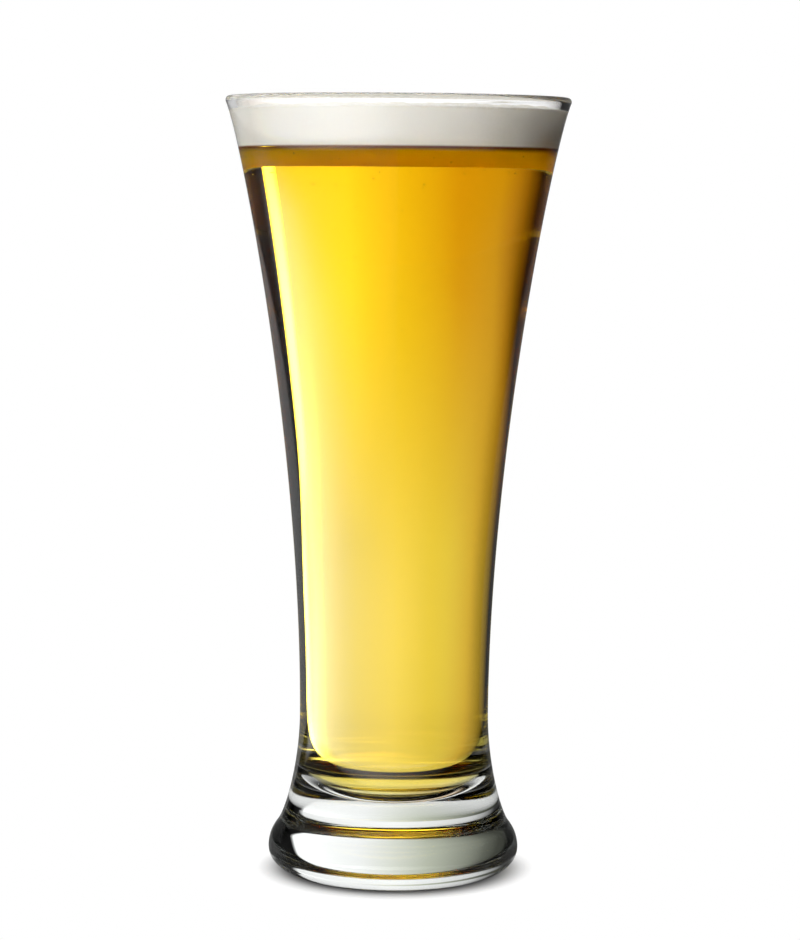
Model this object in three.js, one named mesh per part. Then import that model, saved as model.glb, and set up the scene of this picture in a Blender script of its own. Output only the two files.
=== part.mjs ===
// A filled beer flute: one moulded glass with a heavy foot, the beer in it and its head of foam.
// Millimetres, +Z up. The origin is on the axis, in the plane that the glass stands on.
import * as THREE from "three";

// Bowl
const HEIGHT = 190;
const RIM_RADIUS = 41.9;
const RIM_FLARE = THREE.MathUtils.degToRad(22);
const RIM_WALL = 2;
const WAIST_RADIUS = 23.25;
const WAIST_HEIGHT = 39;
const WAIST_WALL = 2.4;
const BOWL_LOWER_REACH = 66;
const BOWL_UPPER_REACH = 10;

// Round floor inside the bowl
const FLOOR_HEIGHT = 17.1;
const FLOOR_SIDE_REACH = 15.4;
const FLOOR_FLAT_REACH = 18.5;

// Foot, with the ring that it stands on and the slight hollow inside that ring
const FOOT_RADIUS = 30.9;
const FOOT_WIDEST_HEIGHT = 5.6;
const FOOT_ROUNDING = 9;
const FOOT_ROUNDING_SWEEP = THREE.MathUtils.degToRad(39);
const NECK_LOWER_REACH = 3.5;
const NECK_UPPER_REACH = 12.5;
const STANDING_RADIUS = 24;
const STANDING_WIDTH = 4;
const HOLLOW_DEPTH = 0.5;

// Contents, and the gap that parts them from the glass and from each other
const HEAD_SPACE = 1.9;
const FOAM_DEPTH = 10.1;
const FOAM_CROWN = 0.8;
const CLEARANCE = 0.3;

// Fineness of the turned surfaces
const SIDES = 64;
const BOWL_STEPS = 11;
const FLOOR_STEPS = 9;
const FOOT_STEPS = 6;
const LIP_STEPS = 6;
const HOLLOW_STEPS = 4;
const CROWN_STEPS = 3;

const foamTop = HEIGHT - HEAD_SPACE;
const beerTop = foamTop - FOAM_DEPTH;
const foamBottom = beerTop + CLEARANCE;

// A point of an outline: x is the distance from the axis, y the height.
function spot(radius, height) {
  return new THREE.Vector2(radius, height);
}

// Runs of points laid end to end, with the point that two runs share kept once.
function chain(...runs) {
  const outline = [];
  for (const point of runs.flat()) {
    const last = outline.at(-1);
    if (!last || last.distanceTo(point) > 1e-6) outline.push(point);
  }
  return outline;
}

// Points beside a curve, shifted to its left by a distance that changes evenly along it.
function beside(curve, steps, startDistance, endDistance) {
  const points = [];
  for (let i = 0; i <= steps; i++) {
    const t = i / steps;
    const along = curve.getTangent(t);
    const distance = THREE.MathUtils.lerp(startDistance, endDistance, t);
    const left = spot(-along.y, along.x);
    points.push(curve.getPoint(t).addScaledVector(left, distance));
  }
  return points;
}

// The stretch of a rising run of points between two heights, cut exactly at both.
function between(run, low, high) {
  const stretch = run.filter((point) => point.y > low && point.y < high);
  return [radiusOn(run, low), ...stretch, radiusOn(run, high)];
}

// The point of a rising run at a height, on the straight line between its neighbours.
function radiusOn(run, height) {
  const next = Math.max(1, run.findIndex((point) => point.y >= height));
  const share = (height - run[next - 1].y) / (run[next].y - run[next - 1].y);
  return run[next - 1].clone().lerp(run[next], share);
}

// A solid turned about the axis, which stands up along +Z.
function turned(name, outline, material) {
  const mesh = new THREE.Mesh(new THREE.LatheGeometry(outline, SIDES), material);
  mesh.name = name;
  mesh.rotation.x = Math.PI / 2;
  return mesh;
}

// Curves of the glass
const waist = spot(WAIST_RADIUS, WAIST_HEIGHT);
const lipRadius = RIM_WALL / 2;
const lipCentre = spot(RIM_RADIUS - lipRadius, HEIGHT - lipRadius);
const flareAlong = spot(Math.sin(RIM_FLARE), Math.cos(RIM_FLARE));
const bowlTop = lipCentre.clone().add(spot(flareAlong.y, -flareAlong.x).multiplyScalar(lipRadius));
const bowl = new THREE.CubicBezierCurve(
  waist,
  spot(WAIST_RADIUS, WAIST_HEIGHT + BOWL_LOWER_REACH),
  bowlTop.clone().addScaledVector(flareAlong, -BOWL_UPPER_REACH),
  bowlTop,
);
const lip = new THREE.EllipseCurve(
  lipCentre.x,
  lipCentre.y,
  lipRadius,
  lipRadius,
  -RIM_FLARE,
  Math.PI - RIM_FLARE,
);
const footRounding = new THREE.EllipseCurve(
  FOOT_RADIUS - FOOT_ROUNDING,
  FOOT_WIDEST_HEIGHT,
  FOOT_ROUNDING,
  FOOT_ROUNDING,
  0,
  FOOT_ROUNDING_SWEEP,
);
const footUnderside = new THREE.EllipseCurve(
  STANDING_RADIUS,
  FOOT_WIDEST_HEIGHT,
  FOOT_RADIUS - STANDING_RADIUS,
  FOOT_WIDEST_HEIGHT,
  -Math.PI / 2,
  0,
);
const neckBottom = footRounding.getPoint(1);
const neck = new THREE.CubicBezierCurve(
  neckBottom,
  neckBottom.clone().addScaledVector(footRounding.getTangent(1), NECK_LOWER_REACH),
  spot(WAIST_RADIUS, WAIST_HEIGHT - NECK_UPPER_REACH),
  waist,
);
const hollowRadius = STANDING_RADIUS - STANDING_WIDTH;
const hollow = new THREE.QuadraticBezierCurve(
  spot(0, HOLLOW_DEPTH),
  spot(hollowRadius / 2, HOLLOW_DEPTH),
  spot(hollowRadius, 0),
);
const floorRadius = WAIST_RADIUS - WAIST_WALL;
const floor = new THREE.CubicBezierCurve(
  spot(0, FLOOR_HEIGHT),
  spot(FLOOR_FLAT_REACH, FLOOR_HEIGHT),
  spot(floorRadius, WAIST_HEIGHT - FLOOR_SIDE_REACH),
  spot(floorRadius, WAIST_HEIGHT),
);

// Glass: up the outside from the hollow under the foot, over the lip and down the inside.
const innerWall = beside(bowl, BOWL_STEPS, WAIST_WALL, RIM_WALL);
const glassOutline = chain(
  hollow.getPoints(HOLLOW_STEPS),
  [spot(STANDING_RADIUS, 0)],
  footUnderside.getPoints(FOOT_STEPS),
  footRounding.getPoints(FOOT_STEPS),
  neck.getPoints(FOOT_STEPS),
  bowl.getPoints(BOWL_STEPS),
  lip.getPoints(LIP_STEPS),
  innerWall.toReversed(),
  floor.getPoints(FLOOR_STEPS).toReversed(),
);
const glassMaterial = new THREE.MeshStandardMaterial({
  color: 0xe9efea,
  roughness: 0.03,
  metalness: 0,
  transparent: true,
  opacity: 0.35,
});

// Beer: the inside of the glass, filled from the floor up to the head.
const contentsWall = beside(bowl, BOWL_STEPS, WAIST_WALL + CLEARANCE, RIM_WALL + CLEARANCE);
const beerOutline = chain(
  beside(floor, FLOOR_STEPS, CLEARANCE, CLEARANCE),
  between(contentsWall, WAIST_HEIGHT, beerTop),
  [spot(0, beerTop)],
);
const beerMaterial = new THREE.MeshStandardMaterial({
  color: 0xf0b41e,
  roughness: 0.05,
  metalness: 0,
  transparent: true,
  opacity: 0.8,
});

// Foam: a thick disc on the beer that follows the glass, with a slightly crowned top.
const foamWall = between(contentsWall, foamBottom, foamTop - FOAM_CROWN);
const foamEdge = foamWall.at(-1);
const crown = new THREE.QuadraticBezierCurve(foamEdge, spot(foamEdge.x / 2, foamTop), spot(0, foamTop));
const foamOutline = chain([spot(0, foamBottom)], foamWall, crown.getPoints(CROWN_STEPS));
const foamMaterial = new THREE.MeshStandardMaterial({ color: 0xf4f1e6, roughness: 0.7, metalness: 0 });

const flute = new THREE.Group();
flute.add(turned("flute_glass", glassOutline, glassMaterial));
flute.add(turned("beer", beerOutline, beerMaterial));
flute.add(turned("foam_head", foamOutline, foamMaterial));

export default flute;
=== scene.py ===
"""A filled beer flute: moulded soda-lime glass, pale lager and its head of foam, on a white table."""
import math
import random

import bmesh
import bpy
from mathutils import Matrix, Vector, kdtree


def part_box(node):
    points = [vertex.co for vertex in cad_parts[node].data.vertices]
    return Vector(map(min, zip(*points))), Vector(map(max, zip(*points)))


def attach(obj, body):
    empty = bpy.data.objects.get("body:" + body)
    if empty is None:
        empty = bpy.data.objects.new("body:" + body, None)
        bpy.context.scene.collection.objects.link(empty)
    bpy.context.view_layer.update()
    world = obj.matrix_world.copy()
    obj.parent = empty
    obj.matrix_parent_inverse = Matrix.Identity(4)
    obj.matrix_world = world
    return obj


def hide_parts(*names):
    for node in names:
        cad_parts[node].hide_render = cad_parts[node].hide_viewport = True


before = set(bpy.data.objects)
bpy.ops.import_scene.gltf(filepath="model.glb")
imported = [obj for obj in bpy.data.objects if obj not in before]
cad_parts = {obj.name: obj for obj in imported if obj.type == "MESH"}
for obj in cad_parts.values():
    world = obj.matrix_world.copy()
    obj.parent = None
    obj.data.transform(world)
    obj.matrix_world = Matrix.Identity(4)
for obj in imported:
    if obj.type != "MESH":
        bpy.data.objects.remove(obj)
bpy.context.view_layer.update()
scene = bpy.context.scene
scene.view_settings.view_transform = "Standard"

# The glass: one moulding of soda-lime glass, blown into a mould and cut off at the rim, which a
# flame then melted round. The foot is solid and stands on a narrow flat ring round a slight hollow.
# The outline follows the solid: foot, neck, bowl, lip, inner wall and round floor, in metres.
MM = 0.001
glass_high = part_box("flute_glass")[1]
HEIGHT = glass_high.z
RIM_RADIUS = glass_high.x
RIM_FLARE = math.radians(22)
RIM_WALL = 2 * MM
WAIST_RADIUS = 23.25 * MM
WAIST_HEIGHT = 39 * MM
WAIST_WALL = 2.4 * MM
BOWL_LOWER_REACH = 66 * MM
BOWL_UPPER_REACH = 10 * MM
FLOOR_HEIGHT = 17.1 * MM
FLOOR_SIDE_REACH = 15.4 * MM
FLOOR_FLAT_REACH = 18.5 * MM
FOOT_RADIUS = 30.9 * MM
FOOT_WIDEST_HEIGHT = 5.6 * MM
FOOT_ROUNDING = 9 * MM
FOOT_ROUNDING_SWEEP = math.radians(39)
NECK_LOWER_REACH = 3.5 * MM
NECK_UPPER_REACH = 12.5 * MM
STANDING_RADIUS = 24 * MM
STANDING_WIDTH = 4 * MM
HOLLOW_DEPTH = 0.5 * MM
GLASS_SIDES = 192
HOLLOW_STEPS = 12
FOOT_STEPS = 16
NECK_STEPS = 24
BOWL_STEPS = 70
LIP_STEPS = 20
FLOOR_STEPS = 40


def bezier(corners, steps, left=(0, 0)):
    """Points of a cubic curve, shifted to its left by a distance that changes evenly along it."""
    (x0, y0), (x1, y1), (x2, y2), (x3, y3) = corners
    points = []
    for i in range(steps + 1):
        t = i / steps
        s = 1 - t
        x = s**3 * x0 + 3 * s * s * t * x1 + 3 * s * t * t * x2 + t**3 * x3
        y = s**3 * y0 + 3 * s * s * t * y1 + 3 * s * t * t * y2 + t**3 * y3
        dx = s * s * (x1 - x0) + 2 * s * t * (x2 - x1) + t * t * (x3 - x2)
        dy = s * s * (y1 - y0) + 2 * s * t * (y2 - y1) + t * t * (y3 - y2)
        shift = (s * left[0] + t * left[1]) / math.hypot(dx, dy)
        points.append((x - dy * shift, y + dx * shift))
    return points


def arc(centre, radii, start, end, steps):
    """Points of an upright elliptic arc, by angle from the radial direction."""
    turns = [start + (end - start) * i / steps for i in range(steps + 1)]
    return [(centre[0] + radii[0] * math.cos(a), centre[1] + radii[1] * math.sin(a)) for a in turns]


def turned(name, outline, sides, material):
    """A closed smooth mesh, turned about Z from points (radius, height) that start and end on it."""
    corners = [(0, 0, outline[0][1])]
    rings = outline[1:-1]
    for radius, height in rings:
        for i in range(sides):
            turn = math.tau * i / sides
            corners.append((radius * math.cos(turn), radius * math.sin(turn), height))
    corners.append((0, 0, outline[-1][1]))
    top = len(corners) - 1
    faces = []
    for i in range(sides):
        after = (i + 1) % sides
        faces.append((0, 1 + after, 1 + i))
        for ring in range(len(rings) - 1):
            low = 1 + ring * sides
            faces.append((low + i, low + after, low + sides + after, low + sides + i))
        faces.append((top - sides + i, top - sides + after, top))
    mesh = bpy.data.meshes.new(name)
    mesh.from_pydata(corners, [], faces)
    mesh.shade_smooth()
    mesh.materials.append(material)
    piece = bpy.data.objects.new(name, mesh)
    scene.collection.objects.link(piece)
    return piece


def chain(*runs):
    """Runs of points laid end to end, with the point that two runs share kept once."""
    outline = []
    for point in [point for run in runs for point in run]:
        if not outline or math.dist(point, outline[-1]) > 0.001 * MM:
            outline.append(point)
    return outline


def colour(hex_value):
    """An sRGB hex value as linear red, green, blue and alpha."""
    parts = [int(hex_value[i:i + 2], 16) / 255 for i in (0, 2, 4)]
    linear = [c / 12.92 if c <= 0.04045 else ((c + 0.055) / 1.055) ** 2.4 for c in parts]
    return (*linear, 1)


def add_node(tree, kind, settings=None, links=None):
    """A new node with its properties and socket values set, and its sockets linked to others."""
    made = tree.nodes.new(kind)
    for name, value in (settings or {}).items():
        if isinstance(name, str) and hasattr(made, name):
            setattr(made, name, value)
        else:
            made.inputs[name].default_value = value
    for name, source in (links or {}).items():
        tree.links.new(source, made.inputs[name])
    return made


def new_material(name):
    """An empty node material, its node tree and its output node."""
    material = bpy.data.materials.new(name)
    material.use_nodes = True
    material.node_tree.nodes.clear()
    return material, material.node_tree, add_node(material.node_tree, "ShaderNodeOutputMaterial")


def ripple(tree, wavelength, stretch, depth):
    """The normal of a skin with low waves, drawn out along Z, of a size and depth in metres."""
    place = add_node(tree, "ShaderNodeTexCoord")
    drawn = add_node(tree, "ShaderNodeMapping", {"Scale": (1, 1, 1 / stretch)}, {0: place.outputs["Object"]})
    waves = add_node(tree, "ShaderNodeTexNoise", {"Scale": 1 / wavelength, "Detail": 1.0}, {
        0: drawn.outputs[0]})
    bump = add_node(tree, "ShaderNodeBump", {"Distance": depth}, {"Height": waves.outputs["Fac"]})
    return bump.outputs["Normal"]


# Soda-lime glass, fire-polished: clear and smooth, faintly green where it is thick. The mould leaves
# low waves that bend what is seen through it, and use has scuffed the ring that it stands on.
RIPPLE_WAVELENGTH = 14 * MM
RIPPLE_STRETCH = 2.5
RIPPLE_DEPTH = 0.02 * MM
SCUFF_HEIGHT = 0.03 * MM
SCUFF_ROUGHNESS = 0.15
glass_material, tree, output = new_material("soda_lime_glass")
place = add_node(tree, "ShaderNodeTexCoord")
axes = add_node(tree, "ShaderNodeSeparateXYZ", {}, {0: place.outputs["Object"]})
scuffed = add_node(tree, "ShaderNodeMapRange", {
    "From Min": SCUFF_HEIGHT, "From Max": 2 * SCUFF_HEIGHT, "To Min": SCUFF_ROUGHNESS, "To Max": 0.0}, {
    0: axes.outputs["Z"]})
shader = add_node(tree, "ShaderNodeBsdfPrincipled", {
    "Base Color": colour("FFFFFF"), "IOR": 1.52, "Transmission Weight": 1.0}, {
    "Roughness": scuffed.outputs[0],
    "Normal": ripple(tree, RIPPLE_WAVELENGTH, RIPPLE_STRETCH, RIPPLE_DEPTH)})
tint = add_node(tree, "ShaderNodeVolumeAbsorption", {"Color": colour("DCEBE2"), "Density": 4.0})
tree.links.new(shader.outputs["BSDF"], output.inputs["Surface"])
tree.links.new(tint.outputs["Volume"], output.inputs["Volume"])

waist = (WAIST_RADIUS, WAIST_HEIGHT)
lip_radius = RIM_WALL / 2
lip_centre = (RIM_RADIUS - lip_radius, HEIGHT - lip_radius)
flare_x, flare_y = math.sin(RIM_FLARE), math.cos(RIM_FLARE)
bowl_top = (lip_centre[0] + lip_radius * flare_y, lip_centre[1] - lip_radius * flare_x)
bowl = (
    waist,
    (WAIST_RADIUS, WAIST_HEIGHT + BOWL_LOWER_REACH),
    (bowl_top[0] - BOWL_UPPER_REACH * flare_x, bowl_top[1] - BOWL_UPPER_REACH * flare_y),
    bowl_top,
)
foot_centre = (FOOT_RADIUS - FOOT_ROUNDING, FOOT_WIDEST_HEIGHT)
foot_upper = arc(foot_centre, (FOOT_ROUNDING, FOOT_ROUNDING), 0, FOOT_ROUNDING_SWEEP, FOOT_STEPS)
under_centre = (STANDING_RADIUS, FOOT_WIDEST_HEIGHT)
under_radii = (FOOT_RADIUS - STANDING_RADIUS, FOOT_WIDEST_HEIGHT)
foot_lower = arc(under_centre, under_radii, -math.pi / 2, 0, FOOT_STEPS)
neck_x, neck_y = foot_upper[-1]
neck = (
    (neck_x, neck_y),
    (neck_x - NECK_LOWER_REACH * math.sin(FOOT_ROUNDING_SWEEP),
     neck_y + NECK_LOWER_REACH * math.cos(FOOT_ROUNDING_SWEEP)),
    (WAIST_RADIUS, WAIST_HEIGHT - NECK_UPPER_REACH),
    waist,
)
hollow_radius = STANDING_RADIUS - STANDING_WIDTH
hollow = (
    (0, HOLLOW_DEPTH),
    (hollow_radius / 3, HOLLOW_DEPTH),
    (hollow_radius * 2 / 3, HOLLOW_DEPTH * 2 / 3),
    (hollow_radius, 0),
)
floor_radius = WAIST_RADIUS - WAIST_WALL
bowl_floor = (
    (0, FLOOR_HEIGHT),
    (FLOOR_FLAT_REACH, FLOOR_HEIGHT),
    (floor_radius, WAIST_HEIGHT - FLOOR_SIDE_REACH),
    (floor_radius, WAIST_HEIGHT),
)
glass_outline = chain(
    bezier(hollow, HOLLOW_STEPS),
    [(STANDING_RADIUS, 0)],
    foot_lower,
    foot_upper,
    bezier(neck, NECK_STEPS),
    bezier(bowl, BOWL_STEPS),
    arc(lip_centre, (lip_radius, lip_radius), -RIM_FLARE, math.pi - RIM_FLARE, LIP_STEPS),
    bezier(bowl, BOWL_STEPS, (WAIST_WALL, RIM_WALL))[::-1],
    bezier(bowl_floor, FLOOR_STEPS)[::-1],
)
glass = turned("flute_glass_moulding", glass_outline, GLASS_SIDES, glass_material)
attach(glass, "root")
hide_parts("flute_glass")

# The beer: clear pale lager, poured to just under the rim. It wets the glass, so its skin is pressed
# a hair into the wall and no film of air is left between the two, and it climbs the wall a little.
beer_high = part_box("beer")[1]
WETTING = 0.03 * MM
MENISCUS_RISE = 1 * MM
MENISCUS_REACH = 1.5 * MM
MENISCUS_STEPS = (0, 0.25, 0.5, 1, 1.5, 2.5, 4)


def up_to(run, low, high):
    """The stretch of a rising run of points between two heights, cut at both."""
    def at(height):
        for (x0, y0), (x1, y1) in zip(run, run[1:]):
            if y0 <= height <= y1:
                return (x0 + (x1 - x0) * (height - y0) / (y1 - y0), height)
    return [at(low), *[point for point in run if low < point[1] < high], at(high)]


# Pale lager: water clear, with the gold coming from how far light travels through it. Its skin takes
# the faint upright streaks of the inner wall that it wets.
STREAK_WAVELENGTH = 7 * MM
STREAK_STRETCH = 9
STREAK_DEPTH = 0.01 * MM
beer_material, tree, output = new_material("pale_lager")
shader = add_node(tree, "ShaderNodeBsdfPrincipled", {
    "Base Color": colour("FFFFFF"), "Roughness": 0.0, "IOR": 1.34, "Transmission Weight": 1.0}, {
    "Normal": ripple(tree, STREAK_WAVELENGTH, STREAK_STRETCH, STREAK_DEPTH)})
gold = add_node(tree, "ShaderNodeVolumeAbsorption", {"Color": colour("FEF200"), "Density": 75.0})
tree.links.new(shader.outputs["BSDF"], output.inputs["Surface"])
tree.links.new(gold.outputs["Volume"], output.inputs["Volume"])
wet_wall = bezier(bowl, BOWL_STEPS, (WAIST_WALL - WETTING, RIM_WALL - WETTING))
wet_wall_below = up_to(wet_wall, WAIST_HEIGHT, beer_high.z)
beer_edge = wet_wall_below[-1][0]


def beer_surface(sunk):
    """Points of the top of the beer, from the glass, which it climbs a little, to the axis."""
    run = [(beer_edge - MENISCUS_REACH * k, beer_high.z - MENISCUS_RISE * (1 - math.exp(-k)))
           for k in MENISCUS_STEPS]
    return [(x, z - sunk) for x, z in [*run, (0, beer_high.z - MENISCUS_RISE)]]


wet_floor = bezier(bowl_floor, FLOOR_STEPS, (-WETTING, -WETTING))
beer_outline = chain(wet_floor, wet_wall_below, beer_surface(0))
beer = turned("lager_body", beer_outline, GLASS_SIDES, beer_material)

# Gas bubbles: round hollows in the beer. Most cling to the glass in a ring under the head, and the
# rest rise in a few strings from the floor, growing on the way.
RING_BUBBLES = 44
RING_DEPTH = 5 * MM
RING_GAP = 0.5 * MM
STRING_FEET = ((5 * MM, -9 * MM), (-8 * MM, -4 * MM), (1 * MM, 8 * MM))
STRING_PITCH = 11 * MM
STRING_START = (0.3, 1)
STRING_SPACING = (0.5, 1.5)
STRING_SWAY = 0.6 * MM
STRING_GROWTH = 0.7
BUBBLE_RADIUS = (0.08 * MM, 0.2 * MM)
BUBBLE_SEED = 5
chance = random.Random(BUBBLE_SEED)
spots = []
for i in range(RING_BUBBLES):
    radius = chance.uniform(*BUBBLE_RADIUS)
    height = beer_high.z - MENISCUS_RISE - chance.uniform(RING_GAP, RING_DEPTH)
    reach = up_to(wet_wall, height, beer_high.z)[0][0] - radius - RING_GAP
    turn = math.tau * (i + chance.random()) / RING_BUBBLES
    spots.append((reach * math.cos(turn), reach * math.sin(turn), height, radius))
for foot_x, foot_y in STRING_FEET:
    height = FLOOR_HEIGHT + STRING_PITCH * chance.uniform(*STRING_START)
    while height < beer_high.z - RING_DEPTH:
        grown = height / beer_high.z
        radius = BUBBLE_RADIUS[0] + (BUBBLE_RADIUS[1] - BUBBLE_RADIUS[0]) * grown * STRING_GROWTH
        x = foot_x + chance.uniform(-STRING_SWAY, STRING_SWAY)
        y = foot_y + chance.uniform(-STRING_SWAY, STRING_SWAY)
        spots.append((x, y, height, radius))
        height += STRING_PITCH * chance.uniform(*STRING_SPACING)
body = bmesh.new()
body.from_mesh(beer.data)
for x, y, z, radius in spots:
    centre = Matrix.Translation((x, y, z))
    ball = bmesh.ops.create_icosphere(body, subdivisions=2, radius=radius, matrix=centre)
    skin = {face for corner in ball["verts"] for face in corner.link_faces}
    bmesh.ops.reverse_faces(body, faces=list(skin))
body.to_mesh(beer.data)
body.free()
beer.data.shade_smooth()
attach(beer, "root")
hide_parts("beer")

# The head: a thick layer of fine wet foam that floats on the beer and sticks to the glass. Its
# underside is soaked with beer, and on top the larger bubbles stand up as domes or have burst to pits.
foam_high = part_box("foam_head")[1]
FOAM_SIDES = 360
FOAM_CROWN = 0.8 * MM
CROWN_STEPS = 110
DOME_TRIES = 1500
DOME_RADIUS = (0.6 * MM, 2.4 * MM)
DOME_SMALLNESS = 4
DOME_RISE = 0.28
DOME_PACKING = 0.85
DOME_SEED = 11
PIT_SHARE = 0.2
PIT_DEPTH = 0.6
WALL_GAP = 2.5 * MM

# Beer foam: matt and white, because light scatters from its many films and goes in a little way.
# Fine cells, drawn about twice as large as real ones, pit the top and hardly show at the side, which
# the glass presses smooth. The soaked underside is gold, and a painted shade turns it brown up the
# meniscus by the wall.
# In mirror images it is drawn darker than it is, to keep a brown step off the edge of the beer.
CELL = 0.7 * MM
CELL_GAP = (0.2, 0.8)
CELL_DEPTH = 0.1 * MM
SIDE_GRAIN = 0.12
SOAKED_DEPTH = 0.4 * MM
BROWN_FROM, BROWN_TO = 0.9 * MENISCUS_RISE, 0.3 * MENISCUS_RISE
MIRRORED_SHARE = 0.25
BLEND = {"data_type": "RGBA"}
SHADE = {"data_type": "RGBA", "blend_type": "MULTIPLY", "Factor": 1.0}
PRODUCT = {"operation": "MULTIPLY"}
foam_material, tree, output = new_material("beer_foam")
place = add_node(tree, "ShaderNodeTexCoord")
axes = add_node(tree, "ShaderNodeSeparateXYZ", {}, {0: place.outputs["Object"]})
rays = add_node(tree, "ShaderNodeLightPath")
cells = add_node(tree, "ShaderNodeTexVoronoi", {"Scale": 1 / CELL}, {"Vector": place.outputs["Object"]})
gaps = add_node(tree, "ShaderNodeMapRange", {"From Min": CELL_GAP[0], "From Max": CELL_GAP[1]}, {
    0: cells.outputs["Distance"]})
on_top = add_node(tree, "ShaderNodeMapRange", {
    "From Min": foam_high.z - 2 * FOAM_CROWN, "From Max": foam_high.z - FOAM_CROWN, "To Min": SIDE_GRAIN}, {
    0: axes.outputs["Z"]})
dark = add_node(tree, "ShaderNodeMath", PRODUCT, {0: gaps.outputs[0], 1: on_top.outputs[0]})
films = add_node(tree, "ShaderNodeMix", {**BLEND, 6: colour("F7F4EB"), 7: colour("E4DECF")}, {
    "Factor": dark.outputs[0]})
# Painted shade: the gold underside turns brown as it climbs the meniscus to the glass.
painted_wall_shade = add_node(tree, "ShaderNodeMapRange", {
    "From Min": beer_high.z - BROWN_FROM, "From Max": beer_high.z - BROWN_TO}, {0: axes.outputs["Z"]})
soaked_and_shaded = add_node(tree, "ShaderNodeMix", {**BLEND, 6: colour("FFC800"), 7: colour("80480A")}, {
    "Factor": painted_wall_shade.outputs[0]})
by_wall = add_node(tree, "ShaderNodeMapRange", {"To Min": 1.0, "To Max": MIRRORED_SHARE}, {
    0: rays.outputs["Glossy Depth"]})
underside = add_node(tree, "ShaderNodeMix", SHADE, {6: soaked_and_shaded.outputs[2], 7: by_wall.outputs[0]})
drained = add_node(tree, "ShaderNodeMapRange", {
    "From Min": beer_high.z, "From Max": beer_high.z + SOAKED_DEPTH}, {0: axes.outputs["Z"]})
wet = add_node(tree, "ShaderNodeMix", BLEND, {
    "Factor": drained.outputs[0], 6: underside.outputs[2], 7: films.outputs[2]})
bump = add_node(tree, "ShaderNodeBump", {"Distance": CELL_DEPTH, "invert": True}, {
    "Strength": on_top.outputs[0], "Height": cells.outputs["Distance"]})
shader = add_node(tree, "ShaderNodeBsdfPrincipled", {
    "Roughness": 0.6, "IOR": 1.34, "Specular IOR Level": 0.0, "Subsurface Weight": 0.6,
    "Subsurface Scale": 1.2 * MM, "Subsurface Radius": (1, 0.95, 0.85)}, {
    "Base Color": wet.outputs[2], "Normal": bump.outputs["Normal"]})
tree.links.new(shader.outputs["BSDF"], output.inputs["Surface"])

foam_wall = up_to(wet_wall, beer_high.z, foam_high.z - FOAM_CROWN)
foam_edge = foam_wall[-1]
crown = (foam_edge, (foam_edge[0] * 2 / 3, foam_high.z), (foam_edge[0] / 3, foam_high.z), (0, foam_high.z))
foam_outline = chain(beer_surface(WETTING)[::-1], foam_wall, bezier(crown, CROWN_STEPS))
foam = turned("foam_body", foam_outline, FOAM_SIDES, foam_material)
chance = random.Random(DOME_SEED)
domes = []
dome_range = DOME_RADIUS[1] - DOME_RADIUS[0]
for radius in sorted((DOME_RADIUS[0] + dome_range * chance.random()**DOME_SMALLNESS
                      for _ in range(DOME_TRIES)), reverse=True):
    turn = chance.uniform(0, math.tau)
    reach = (foam_edge[0] - WALL_GAP - radius) * math.sqrt(chance.random())
    spot = Vector((reach * math.cos(turn), reach * math.sin(turn), 0))
    if all((spot - other).length > DOME_PACKING * (radius + wide) for other, wide, _ in domes):
        domes.append((spot, radius, -PIT_DEPTH if chance.random() < PIT_SHARE else 1))
finder = kdtree.KDTree(len(domes))
for i, (spot, _, _) in enumerate(domes):
    finder.insert(spot, i)
finder.balance()
for corner in foam.data.vertices:
    if corner.co.z > foam_edge[1]:
        for _, i, distance in finder.find_range(Vector((corner.co.x, corner.co.y, 0)), DOME_RADIUS[1]):
            _, radius, way = domes[i]
            if distance < radius:
                corner.co.z += way * DOME_RISE * math.sqrt(radius**2 - distance**2)
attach(foam, "root")
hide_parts("foam_head")

# The table: a small round patch of white table top under the glass. It carries a painted shadow of
# the foot and fades out into the white studio round it, except in mirror images, which show it
# further out. Seen through the foot it darkens to both sides with painted shade of the black boards
# that stand over it in the studio.
TABLE_CLEAR_RADIUS = 36 * MM
TABLE_RADIUS = 52 * MM
TABLE_REACH = 150 * MM
TABLE_SIDES = 96
TABLE_SINK = 0.02 * MM
TABLE_LIFT = 0.95
SHADOW_RADIUS = 36.5 * MM
RIGHT_BOARD = (31 * MM, 26 * MM)
LEFT_BOARD = (-38 * MM, 4 * MM)
LEFT_BOARD_TONE = 0.2
SOFT_EDGE = {"interpolation_type": "SMOOTHSTEP"}

# White laminate: matt and smooth. Under the foot it is painted darker, as painted shadow, and outside
# that shadow a glow lifts it to the white of the studio, for the camera and for views through glass.
table_material, tree, output = new_material("white_laminate")
place = add_node(tree, "ShaderNodeTexCoord")
axes = add_node(tree, "ShaderNodeSeparateXYZ", {}, {0: place.outputs["Object"]})
rays = add_node(tree, "ShaderNodeLightPath")
far = add_node(tree, "ShaderNodeVectorMath", {"operation": "LENGTH"}, {0: place.outputs["Object"]})
# Painted shadow: the table top is darker under the foot, by radius.
lit = add_node(tree, "ShaderNodeMapRange", {
    **SOFT_EDGE, "From Min": STANDING_RADIUS, "From Max": FOOT_RADIUS}, {"Value": far.outputs["Value"]})
ground_with_painted_shadow = add_node(tree, "ShaderNodeMix", {**BLEND, 6: colour("303030"), 7: colour("808080")}, {
    "Factor": lit.outputs[0]})
matt = add_node(tree, "ShaderNodeBsdfDiffuse", {}, {"Color": ground_with_painted_shadow.outputs[2]})
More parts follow.
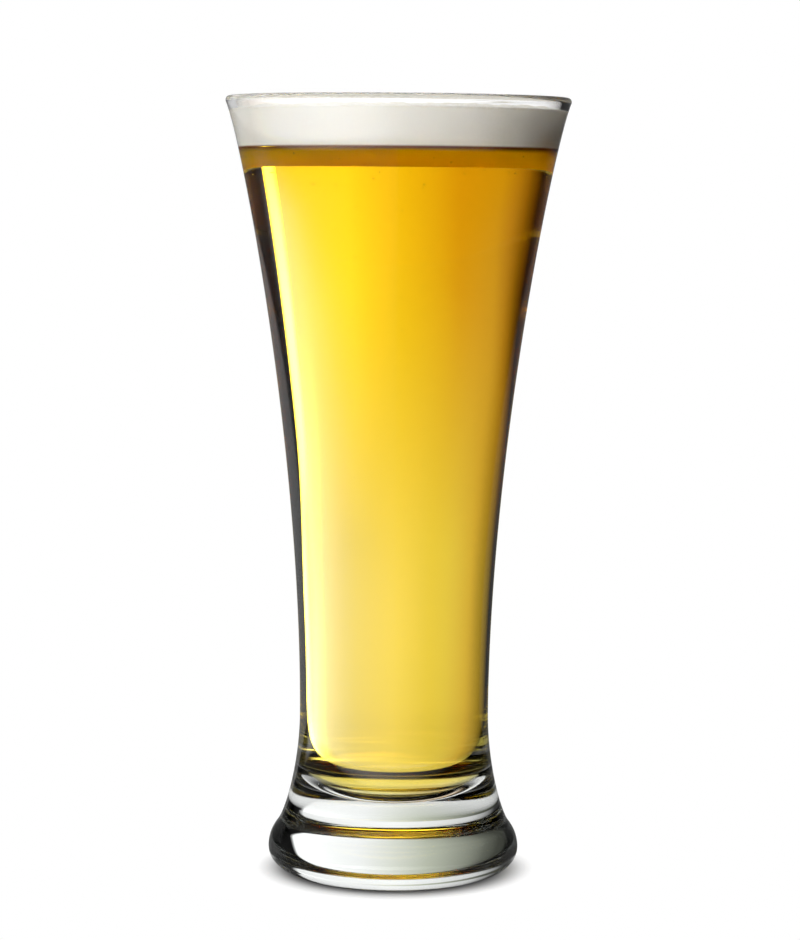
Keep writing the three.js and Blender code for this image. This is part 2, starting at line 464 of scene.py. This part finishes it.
# Painted shade of the black boards: seen through glass, the glow fades towards both sides.
right_board_painted_shade = add_node(tree, "ShaderNodeMapRange", {
    "From Min": RIGHT_BOARD[0], "From Max": RIGHT_BOARD[1]}, {0: axes.outputs["X"]})
left_board_painted_shade = add_node(tree, "ShaderNodeMapRange", {
    "From Min": LEFT_BOARD[0], "From Max": LEFT_BOARD[1], "To Min": LEFT_BOARD_TONE}, {0: axes.outputs["X"]})
between = add_node(tree, "ShaderNodeMath", PRODUCT, {0: right_board_painted_shade.outputs[0], 1: left_board_painted_shade.outputs[0]})
through = add_node(tree, "ShaderNodeMath", PRODUCT, {
    0: rays.outputs["Is Transmission Ray"], 1: between.outputs[0]})
seen = add_node(tree, "ShaderNodeMath", {"operation": "MAXIMUM"}, {
    0: rays.outputs["Is Camera Ray"], 1: through.outputs[0]})
# Painted shadow: the glow is weak near the foot and full from the shadow radius outwards.
clear = add_node(tree, "ShaderNodeMapRange", {
    **SOFT_EDGE, "From Min": STANDING_RADIUS, "From Max": SHADOW_RADIUS, "To Max": TABLE_LIFT}, {
    "Value": far.outputs["Value"]})
strength = add_node(tree, "ShaderNodeMath", PRODUCT, {0: seen.outputs[0], 1: clear.outputs[0]})
lift = add_node(tree, "ShaderNodeEmission", {"Color": colour("FFFFFF")}, {"Strength": strength.outputs[0]})
both = add_node(tree, "ShaderNodeAddShader", {}, {0: matt.outputs[0], 1: lift.outputs[0]})
fade = add_node(tree, "ShaderNodeMapRange", {
    **SOFT_EDGE, "From Min": TABLE_CLEAR_RADIUS, "From Max": TABLE_RADIUS}, {"Value": far.outputs["Value"]})
mirrored = add_node(tree, "ShaderNodeMath", {"operation": "SUBTRACT", "use_clamp": True}, {
    0: rays.outputs["Is Glossy Ray"], 1: rays.outputs["Is Transmission Ray"]})
gone = add_node(tree, "ShaderNodeMath", {"operation": "SUBTRACT", "use_clamp": True}, {
    0: fade.outputs[0], 1: mirrored.outputs[0]})
bare = add_node(tree, "ShaderNodeBsdfTransparent")
table_top = add_node(tree, "ShaderNodeMixShader", {}, {
    0: gone.outputs[0], 1: both.outputs[0], 2: bare.outputs[0]})
tree.links.new(table_top.outputs[0], output.inputs["Surface"])
table_mesh = bpy.data.meshes.new("table_top")
table_rim = arc((0, 0), (TABLE_REACH, TABLE_REACH), 0, math.tau, TABLE_SIDES)[:-1]
table_mesh.from_pydata([(x, y, -TABLE_SINK) for x, y in table_rim], [], [list(range(TABLE_SIDES))])
table_mesh.materials.append(table_material)
table = bpy.data.objects.new("table_top", table_mesh)
scene.collection.objects.link(table)

# The studio: a white backdrop that dims to the left, with narrow black boards at both sides that draw
# the edges of the glass. A key lamp stands low in front to the left, a fill behind, a lamp overhead
# leans to the front left, and the glass mirrors a tall soft box at the left.
world = bpy.data.worlds.new("white_studio")
scene.world = world
world.use_nodes = True
tree = world.node_tree
tree.nodes.clear()

# It isn't one consistent room: light on matt surfaces, mirror images and views through beer or clear
# glass each meet tones of their own. A tone has a bearing in degrees, a level, and a colour where it
# isn't white. The bearing is 0 behind the glass, 90 to its right and 180 in front of it, and what is
# seen through the glass swaps sides.
STUDIO = {
    # Light on the foam and the table: above the horizon, below it, steeply from below, from overhead.
    "soft_light": (
        (-162, 0.02), (-156, 2.0), (-142, 2.0), (-136, 0.03), (-50, 0.03), (-40, 0.3), (20, 0.3), (35, 0.02)),
    "low_light": (
        (-162, 0.02), (-156, 26.0), (-142, 26.0), (-136, 0.05), (-36, 0.05), (-30, 13.0), (-5, 13.0),
        (1, 0.02), (60, 0.13, "FFA040"), (150, 0.13, "FFA040"), (165, 0.02)),
    "floor_light": ((-36, 0.05), (-30, 13.0), (-5, 13.0), (1, 0.05)),
    "top_light": ((-180, 3.8), (-100, 3.8), (-80, 0.2), (160, 0.2), (175, 3.8)),
    # Mirrored by the outside of the glass: the dark room, the lit table top and the soft box.
    "room": ((-180, 0.1), (-60, 0.1), (-45, 0.0), (0, 0.15), (45, 0.0)),
    "lit_table": (
        (-180, 4.8), (-159, 7.0), (-129, 8.0), (-95, 5.2), (-55, 0.5), (0, 0.1), (96, 0.1), (129, 2.2),
        (180, 4.8)),
    "soft_box_low": ((-150, 0.0), (-124, 0.2), (-91, 0.5), (-72, 0.7), (-52, 0.0)),
    "soft_box": (
        (-180, 1.6), (-135, 2.8), (-113, 4.2), (-90, 5.5), (-72, 5.2), (-62, 2.5), (-50, 0.0), (60, 0.0),
        (106, 0.4), (138, 0.5), (180, 1.6)),
    # Seen through the beer: the backdrop, a bright strip at its edge, and the front lamp by bounces.
    "backdrop_upper": (
        (-52, 0.0, "FFC890"), (-41, 0.27, "FFC890"), (-31, 0.6, "FFD0A0"), (-24, 0.79, "FFDCB4"),
        (-12, 0.89, "FFDCB4"), (0, 1.2, "FFFAF0"), (10, 1.6), (32, 1.4), (38.5, 1.2), (40, 0.0)),
    "backdrop_lower": (
        (-45, 0.0, "FFE7C0"), (-38.5, 0.3, "FFE7C0"), (-27, 0.65, "FFE7C0"), (-23, 0.85, "FFE7C0"),
        (-13, 1.0, "FFFBF0"), (0, 1.16), (14.5, 1.0), (22, 1.08), (28, 2.1), (32.5, 5.0), (36, 10.0),
        (39, 10.0), (40, 0.0)),
    "strip_lamp": ((31, 0.0), (34, 1.0), (38.5, 1.0), (40, 0.0)),
    "front_lamp": (
        (-180, 2.5, "FFF4E0"), (-168, 0.3, "FFF4E0"), (-140, 0.0, "FFF4E0"), (135, 0.0, "FFF4E0"),
        (148, 6.0, "FFF4E0"), (172, 6.0, "FFF4E0"), (180, 2.5, "FFF4E0")),
    # Seen through clear glass alone: in the foot, in the rim, and beside the rim after a bounce.
    "behind_foot": (
        (-180, 0.9), (-88, 0.9), (-80, 0.0), (-57, 0.0, "FAFFEA"), (-51, 0.06, "FAFFEA"),
        (-44, 0.07, "FAFFEA"), (-34, 0.14, "FAFFEA"), (-20, 0.37, "FAFFEA"), (-10, 0.57, "FAFFEA"),
        (0, 0.82, "FDFFF4"), (10, 1.03), (25, 1.2), (38, 1.25), (40, 0.0), (80, 0.0), (88, 0.9)),
    "behind_rim": ((-80, 0.0), (-50, 0.05), (-30, 0.7), (0, 1.1), (38, 1.0), (42, 0.0)),
    "beside_rim": ((-70, 0.0), (-60, 0.7), (-8, 0.7), (-2, 0.0)),
}
SQUEEZED = ("backdrop_upper", "backdrop_lower", "strip_lamp")
# Where the lamps, boards and tones begin and end: along a part of the direction, from and to, and the
# value before and after. Y points to the backdrop, Z is up, and the lean is Z over the sine of half
# the bearing, which stays the same round a level ring of the glass that mirrors it to the front.
EDGES = {
    "overhead": ("Z", 0.6, 0.68, 0, 1),
    "below": ("Z", 0.03, -0.03, 0, 1),
    "steeply_below": ("Z", -0.4, -0.5, 0, 1),
    "box_waist": ("Y", 0.22, -0.95, -0.378, -0.298),
    "box_top": ("Y", 0.4, -0.95, -0.2, 0.12),
    "box_foot": ("lean", -0.41, -0.385, 0, 1),
    "on_table": ("lean", -0.42, -0.44, 0, 1),
    "upper_half": ("Z", -0.07, 0.08, 0, 1),
    "dim_foot": ("Z", -0.24, -0.14, 0.89, 1),
    "strip_level": ("Z", -0.03, 0.1, 0, 15),
    "front_height": ("Z", 0.65, 0.8, 0, 1),
    "board_top": ("Z", 0.05, -0.02, 0, 1),
    "rim_height": ("Z", -0.08, -0.06, 0, 1),
    "floor_shade": ("Z", -0.55, -0.7, 1, 0.2),
    "past_boards": ("Y", 0.44, 0.32, 0, 1),
}
RIGHT_SQUEEZE = (0.04, 0.15, 0.84, 1.06)
LEFT_SQUEEZE = (-0.09, 0.03, 0.9, 1.06)
WAIST_SOFTNESS = 0.05
TOP_SOFTNESS = 0.04
PAST_BOARDS_LEVEL = 1.15
# Counts that tell views apart: of bounces, and of skins crossed with no beer behind them.
ONCE, TWICE, CLEAR_WALLS = 0.5, 1.5, 3.5
direction = add_node(tree, "ShaderNodeTexCoord")
axes = add_node(tree, "ShaderNodeSeparateXYZ", {}, {0: direction.outputs["Generated"]})
rays = add_node(tree, "ShaderNodeLightPath")
bearing = add_node(tree, "ShaderNodeMath", {"operation": "ARCTAN2"}, {
    0: axes.outputs["X"], 1: axes.outputs["Y"]})
half_bearing = add_node(tree, "ShaderNodeMath", {**PRODUCT, 1: 0.5}, {0: bearing.outputs[0]})
half_sine = add_node(tree, "ShaderNodeMath", {"operation": "SINE"}, {0: half_bearing.outputs[0]})
bulge = add_node(tree, "ShaderNodeMath", {"operation": "ABSOLUTE"}, {0: half_sine.outputs[0]})
lean = add_node(tree, "ShaderNodeMath", {"operation": "DIVIDE"}, {0: axes.outputs["Z"], 1: bulge.outputs[0]})

along = {"Y": axes.outputs["Y"], "Z": axes.outputs["Z"], "lean": lean.outputs[0]}
edges = {}
for name, (axis, start, end, before, after) in EDGES.items():
    edge = add_node(tree, "ShaderNodeMapRange", {
        "From Min": start, "From Max": end, "To Min": before, "To Max": after}, {"Value": along[axis]})
    edges[name] = edge.outputs[0]

# The backdrop behind the beer is a little wider below than above. It changes at a height of its own
# on each side, named for the side of the glass that shows it.
squeezes = []
for start, end, before, after in (RIGHT_SQUEEZE, LEFT_SQUEEZE):
    squeezes.append(add_node(tree, "ShaderNodeMapRange", {
        **SOFT_EDGE, "From Min": start, "From Max": end, "To Min": before, "To Max": after}, {
        "Value": axes.outputs["Z"]}))
on_left = add_node(tree, "ShaderNodeMath", {"operation": "GREATER_THAN", 1: 0.0}, {0: bearing.outputs[0]})
squeeze = add_node(tree, "ShaderNodeMix", {}, {
    0: on_left.outputs[0], 2: squeezes[0].outputs[0], 3: squeezes[1].outputs[0]})
squeezed = add_node(tree, "ShaderNodeMath", PRODUCT, {0: bearing.outputs[0], 1: squeeze.outputs[0]})
tones = {}
for name, pattern in STUDIO.items():
    turn = squeezed if name in SQUEEZED else bearing
    share = add_node(tree, "ShaderNodeMapRange", {"From Min": -math.pi, "From Max": math.pi}, {
        0: turn.outputs[0]})
    ramp = add_node(tree, "ShaderNodeValToRGB", {}, {0: share.outputs[0]})
    stops = ramp.color_ramp.elements
    while len(stops) < len(pattern):
        stops.new(0.5)
    for stop, (degrees, level, *hue) in zip(stops, pattern):
        stop.position = (degrees + 180) / 360
        stop.color = [level * part for part in colour(hue[0] if hue else "FFFFFF")[:3]] + [1]
    tones[name] = ramp.outputs["Color"]

# Light on the foam and the table.
low = add_node(tree, "ShaderNodeMix", BLEND, {
    "Factor": edges["steeply_below"], 6: tones["low_light"], 7: tones["floor_light"]})
sides = add_node(tree, "ShaderNodeMix", BLEND, {
    "Factor": edges["below"], 6: tones["soft_light"], 7: low.outputs[2]})
lamps = add_node(tree, "ShaderNodeMix", BLEND, {
    "Factor": edges["overhead"], 6: sides.outputs[2], 7: tones["top_light"]})

# Mirrored by the outside of the glass.
over_waist = add_node(tree, "ShaderNodeMath", {"operation": "SUBTRACT"}, {
    0: lean.outputs[0], 1: edges["box_waist"]})
box_upper = add_node(tree, "ShaderNodeMapRange", {
    **SOFT_EDGE, "From Min": -WAIST_SOFTNESS, "From Max": WAIST_SOFTNESS}, {"Value": over_waist.outputs[0]})
box = add_node(tree, "ShaderNodeMix", BLEND, {
    "Factor": box_upper.outputs[0], 6: tones["soft_box_low"], 7: tones["soft_box"]})
over_top = add_node(tree, "ShaderNodeMath", {"operation": "SUBTRACT"}, {
    0: lean.outputs[0], 1: edges["box_top"]})
under_top = add_node(tree, "ShaderNodeMapRange", {
    "From Min": TOP_SOFTNESS, "From Max": -TOP_SOFTNESS}, {"Value": over_top.outputs[0]})
on_box = add_node(tree, "ShaderNodeMath", PRODUCT, {0: edges["box_foot"], 1: under_top.outputs[0]})
surroundings = add_node(tree, "ShaderNodeMix", BLEND, {
    "Factor": edges["on_table"], 6: tones["room"], 7: tones["lit_table"]})
mirror_image = add_node(tree, "ShaderNodeMix", {**BLEND, "blend_type": "ADD"}, {
    "Factor": on_box.outputs[0], 6: surroundings.outputs[2], 7: box.outputs[2]})

# Seen through the glass: with the beer in it, or through clear glass alone, in the foot and the rim.
# A view that has bounced inside meets the boards or, steeply up, the front lamp.
glass_alone = add_node(tree, "ShaderNodeMath", {"operation": "LESS_THAN", 1: CLEAR_WALLS}, {
    0: rays.outputs["Transmission Depth"]})
through_beer = add_node(tree, "ShaderNodeMath", {"operation": "GREATER_THAN", 1: CLEAR_WALLS}, {
    0: rays.outputs["Transmission Depth"]})
direct = add_node(tree, "ShaderNodeMath", {"operation": "LESS_THAN", 1: ONCE}, {
    0: rays.outputs["Glossy Depth"]})
bounced = add_node(tree, "ShaderNodeMath", {"operation": "GREATER_THAN", 1: ONCE}, {
    0: rays.outputs["Glossy Depth"]})
bounced_little = add_node(tree, "ShaderNodeMath", {"operation": "LESS_THAN", 1: TWICE}, {
    0: rays.outputs["Glossy Depth"]})
backdrop = add_node(tree, "ShaderNodeMix", BLEND, {
    "Factor": edges["upper_half"], 6: tones["backdrop_lower"], 7: tones["backdrop_upper"]})
dimmed_backdrop = add_node(tree, "ShaderNodeMix", SHADE, {6: backdrop.outputs[2], 7: edges["dim_foot"]})
foot_shade = add_node(tree, "ShaderNodeMath", PRODUCT, {
    0: edges["floor_shade"], 1: bounced_little.outputs[0]})
in_foot = add_node(tree, "ShaderNodeMix", SHADE, {6: tones["behind_foot"], 7: foot_shade.outputs[0]})
at_rim = add_node(tree, "ShaderNodeMath", PRODUCT, {0: edges["rim_height"], 1: direct.outputs[0]})
in_glass = add_node(tree, "ShaderNodeMix", BLEND, {
    "Factor": at_rim.outputs[0], 6: in_foot.outputs[2], 7: tones["behind_rim"]})
straight_view = add_node(tree, "ShaderNodeMix", BLEND, {
    "Factor": glass_alone.outputs[0], 6: dimmed_backdrop.outputs[2], 7: in_glass.outputs[2]})
on_board = add_node(tree, "ShaderNodeMath", PRODUCT, {0: edges["board_top"], 1: bounced.outputs[0]})
board = add_node(tree, "ShaderNodeMix", {**BLEND, 6: colour("000000")}, {
    "Factor": glass_alone.outputs[0], 7: tones["beside_rim"]})
board_view = add_node(tree, "ShaderNodeMix", BLEND, {
    "Factor": on_board.outputs[0], 6: straight_view.outputs[2], 7: board.outputs[2]})
thrown_up = add_node(tree, "ShaderNodeMath", PRODUCT, {0: edges["front_height"], 1: bounced.outputs[0]})
on_front_lamp = add_node(tree, "ShaderNodeMath", PRODUCT, {
    0: thrown_up.outputs[0], 1: through_beer.outputs[0]})
lamp_view = add_node(tree, "ShaderNodeMix", BLEND, {
    "Factor": on_front_lamp.outputs[0], 6: board_view.outputs[2], 7: tones["front_lamp"]})
beer_direct = add_node(tree, "ShaderNodeMath", PRODUCT, {0: through_beer.outputs[0], 1: direct.outputs[0]})
strip_share = add_node(tree, "ShaderNodeMath", PRODUCT, {0: edges["strip_level"], 1: beer_direct.outputs[0]})
strip = add_node(tree, "ShaderNodeMix", SHADE, {6: tones["strip_lamp"], 7: strip_share.outputs[0]})
strip_view = add_node(tree, "ShaderNodeMix", {**BLEND, "blend_type": "ADD", "Factor": 1.0}, {
    6: lamp_view.outputs[2], 7: strip.outputs[2]})
beyond = add_node(tree, "ShaderNodeMath", PRODUCT, {0: edges["past_boards"], 1: direct.outputs[0]})
glass_view = add_node(tree, "ShaderNodeMix", {**BLEND, 7: (*[PAST_BOARDS_LEVEL] * 3, 1)}, {
    "Factor": beyond.outputs[0], 6: strip_view.outputs[2]})

# The camera sees plain white, and light that reaches the foam or the table comes from the lamps alone,
# also where it passes through the glass.
unscattered = add_node(tree, "ShaderNodeMath", {"operation": "LESS_THAN", 1: ONCE}, {
    0: rays.outputs["Diffuse Depth"]})
sky = add_node(tree, "ShaderNodeBackground", {}, {"Color": lamps.outputs[2]})
for kind, tone in (("Is Glossy Ray", mirror_image), ("Is Transmission Ray", glass_view)):
    shown = add_node(tree, "ShaderNodeMath", PRODUCT, {0: rays.outputs[kind], 1: unscattered.outputs[0]})
    view = add_node(tree, "ShaderNodeBackground", {}, {"Color": tone.outputs[2]})
    sky = add_node(tree, "ShaderNodeMixShader", {}, {
        0: shown.outputs[0], 1: sky.outputs[0], 2: view.outputs[0]})
white = add_node(tree, "ShaderNodeBackground", {"Color": colour("FFFFFF"), "Strength": 1.0})
studio = add_node(tree, "ShaderNodeMixShader", {}, {
    0: rays.outputs["Is Camera Ray"], 1: sky.outputs[0], 2: white.outputs[0]})
add_node(tree, "ShaderNodeOutputWorld", {}, {"Surface": studio.outputs[0]})

# The photograph's view: a long lens a little below the rim, tipped down to the middle of the glass.
# Light may bounce often, because a view through the foot crosses many skins of glass and beer.
CAMERA_DISTANCE = 720 * MM
CAMERA_HEIGHT = 171.9 * MM
CAMERA_TILT = math.radians(5.77)
CAMERA_ROLL = math.radians(-0.45)
AXIS_OFFSET = 0.45 * MM
LENS = 112.93
SENSOR_HEIGHT = 36
CLEAR_BOUNCES = 32
OTHER_BOUNCES = 8
lens_view = bpy.data.cameras.new("photo_view")
lens_view.sensor_fit = "VERTICAL"
lens_view.sensor_height = SENSOR_HEIGHT
lens_view.lens = LENS
camera = bpy.data.objects.new("photo_view", lens_view)
camera.location = (AXIS_OFFSET, -CAMERA_DISTANCE, CAMERA_HEIGHT)
camera.rotation_euler = (math.pi / 2 - CAMERA_TILT, CAMERA_ROLL, 0)
scene.collection.objects.link(camera)
scene.camera = camera
scene.cycles.max_bounces = CLEAR_BOUNCES
scene.cycles.transmission_bounces = CLEAR_BOUNCES
scene.cycles.glossy_bounces = OTHER_BOUNCES
scene.cycles.diffuse_bounces = OTHER_BOUNCES
